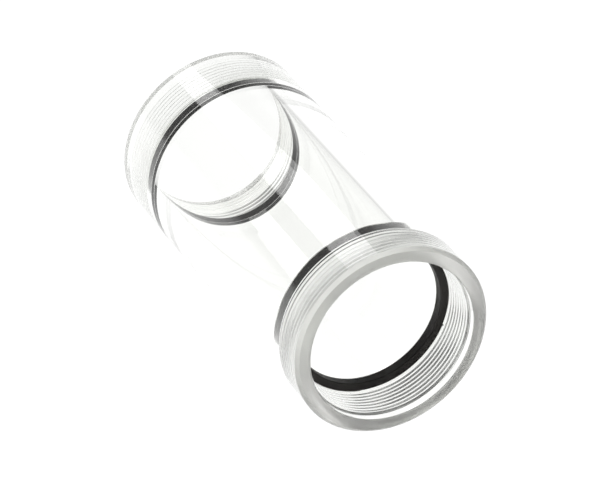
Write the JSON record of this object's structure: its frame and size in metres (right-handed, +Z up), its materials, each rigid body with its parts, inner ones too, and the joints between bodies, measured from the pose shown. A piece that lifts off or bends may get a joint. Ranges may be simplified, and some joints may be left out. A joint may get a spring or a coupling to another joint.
{
  "type": "sight glass",
  "caption": "Clear plastic tube sight glass, internally threaded at each end, with a flat rubber gasket seated behind each thread.",
  "frame": {"origin": "the middle of the tube, on the bore's axis", "axes": "+X runs along the bore to the outlet end, +Z is up with the tube lying on its side, and +Y completes the right-handed frame. The tube is the same from either end, so the names inlet and outlet only tell the ends apart"},
  "size_m": [0.1302, 0.0636, 0.0636],
  "materials": {
    "clear_plastic": "clear and polished on the outside and in the bore, fine turned matte on the end faces",
    "black_rubber": "smooth moulded black rubber with a faint sheen"
  },
  "bodies": {
    "tube": {"sight_tube": "clear_plastic"},
    "inlet_gasket": {"inlet_gasket": "black_rubber"},
    "outlet_gasket": {"outlet_gasket": "black_rubber"}
  },
  "joints": [
    {"name": "inlet_gasket_slide", "type": "slide", "parent": "tube", "child": "inlet_gasket", "axis": [-1, 0, 0], "range_m": [0, 0.026], "deforming": ["inlet_gasket"]},
    {"name": "outlet_gasket_slide", "type": "slide", "parent": "tube", "child": "outlet_gasket", "axis": [1, 0, 0], "range_m": [0, 0.026], "deforming": ["outlet_gasket"]}
  ]
}
